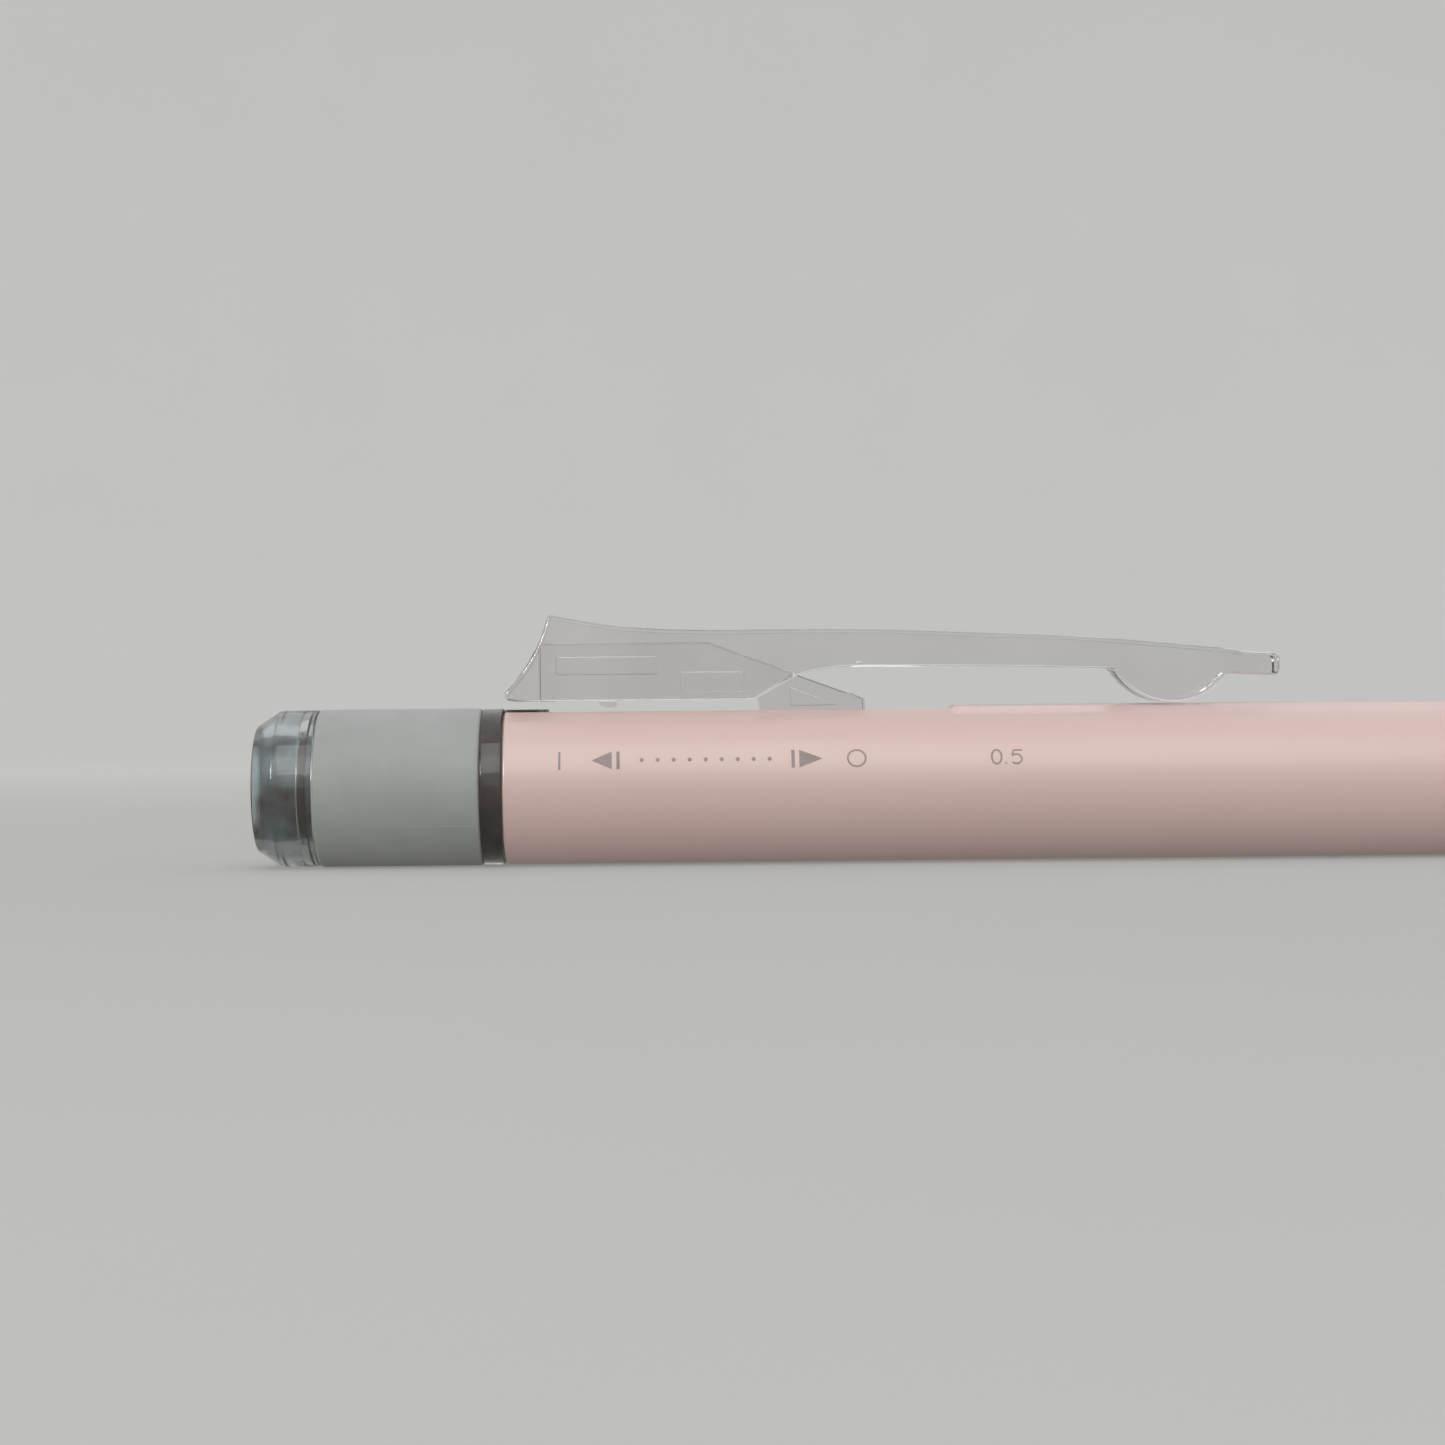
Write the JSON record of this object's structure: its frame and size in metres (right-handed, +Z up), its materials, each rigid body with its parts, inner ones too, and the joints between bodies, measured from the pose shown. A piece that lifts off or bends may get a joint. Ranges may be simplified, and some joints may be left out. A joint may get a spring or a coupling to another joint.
{
  "type": "mechanical pencil",
  "caption": "Shaker mechanical pencil with a sliding pocket clip that knocks and locks the lead, and a twist-out eraser at the tail.",
  "frame": {"origin": "under the middle of the pencil, on the surface it lies on", "axes": "+X along the pencil towards the lead point, +Z up through the pocket clip, XZ is the symmetry plane"},
  "size_m": [0.148, 0.0108, 0.017],
  "materials": {
    "pink_barrel": "glossy pale pink, moulded ABS",
    "nickel_cone": "nickel-plated turned brass, satin",
    "steel": "plain bright steel",
    "rubber": "black rubber",
    "white_resin": "white acetal",
    "spring_steel": "stainless spring wire",
    "brass": "turned brass",
    "tank_resin": "milky polypropylene",
    "graphite": "polymer-bound graphite lead",
    "clear_clip": "clear polycarbonate, slightly frosted",
    "clear_slider": "clear polycarbonate",
    "clear_knob": "clear acrylic, faint blue-grey tint",
    "grey_sleeve": "matte grey moulded sleeve",
    "smoke_tube": "dark smoke-brown glossy plastic",
    "black_resin": "black moulded plastic",
    "white_eraser": "white plastic eraser"
  },
  "bodies": {
    "barrel": {"barrel": "pink_barrel", "tip_cone": "nickel_cone", "lead_pipe": "steel", "lead_retainer": "rubber", "chuck_guide": "white_resin", "weight_stop": "white_resin", "lock_cam": "white_resin"},
    "feed_unit": {"chuck": "brass", "tank_connector": "white_resin", "lead_tank": "tank_resin", "tank_funnel": "tank_resin", "spare_leads": "graphite", "buffer_spring": "spring_steel", "return_spring": "spring_steel"},
    "chuck_ring": {"chuck_ring": "brass"},
    "lead": {"lead": "graphite"},
    "shaker_weight": {"shaker_weight": "steel"},
    "lock_collar": {"lock_collar": "white_resin"},
    "clip_unit": {"clip": "clear_clip", "clip_slider": "clear_slider", "knock_sleeve": "tank_resin"},
    "eraser_plug": {"spiral_tube": "black_resin"},
    "twist_knob": {"twist_knob": "clear_knob", "knob_sleeve": "grey_sleeve", "joint_ring": "clear_knob", "guide_tube": "smoke_tube", "retaining_ring": "spring_steel"},
    "eraser_unit": {"eraser_holder": "white_resin", "eraser": "white_eraser"}
  },
  "joints": [
    {"name": "lock_slide", "type": "slide", "parent": "barrel", "child": "lock_collar", "axis": [1, 0, 0], "range_m": [-0.0032, 0]},
    {"name": "clip_knock", "type": "slide", "parent": "lock_collar", "child": "clip_unit", "axis": [1, 0, 0], "range_m": [0, 0.0036], "stiffness_N_per_m": 400, "springref_m": -0.002},
    {"name": "chuck_feed", "type": "slide", "parent": "barrel", "child": "feed_unit", "axis": [1, 0, 0], "range_m": [0, 0.0036], "deforming": ["return_spring"]},
    {"name": "ring_slide", "type": "slide", "parent": "barrel", "child": "chuck_ring", "axis": [1, 0, 0], "range_m": [0, 0.001]},
    {"name": "lead_feed", "type": "slide", "parent": "barrel", "child": "lead", "axis": [1, 0, 0], "range_m": [0, 0.001]},
    {"name": "weight_shake", "type": "slide", "parent": "barrel", "child": "shaker_weight", "axis": [1, 0, 0], "range_m": [0, 0.0088]},
    {"name": "eraser_plug_pull", "type": "slide", "parent": "barrel", "child": "eraser_plug", "axis": [-1, 0, 0], "range_m": [0, 0.02]},
    {"name": "knob_twist", "type": "hinge", "parent": "eraser_plug", "child": "twist_knob", "pos_m": [-0.074, 0, 0.0054], "axis": [1, 0, 0], "range_deg": [0, 720]},
    {"name": "eraser_feed", "type": "slide", "parent": "twist_knob", "child": "eraser_unit", "axis": [-1, 0, 0], "range_m": [0, 0.01]}
  ],
  "couplings": [
    {"joint": "chuck_feed", "follows": "clip_knock", "ratio": 1},
    {"joint": "ring_slide", "follows": "clip_knock", "ratio": 0.27778},
    {"joint": "lead_feed", "follows": "clip_knock", "ratio": 0.27778},
    {"joint": "knob_twist", "follows": "eraser_feed", "rad_per_m": 1256.6}
  ]
}
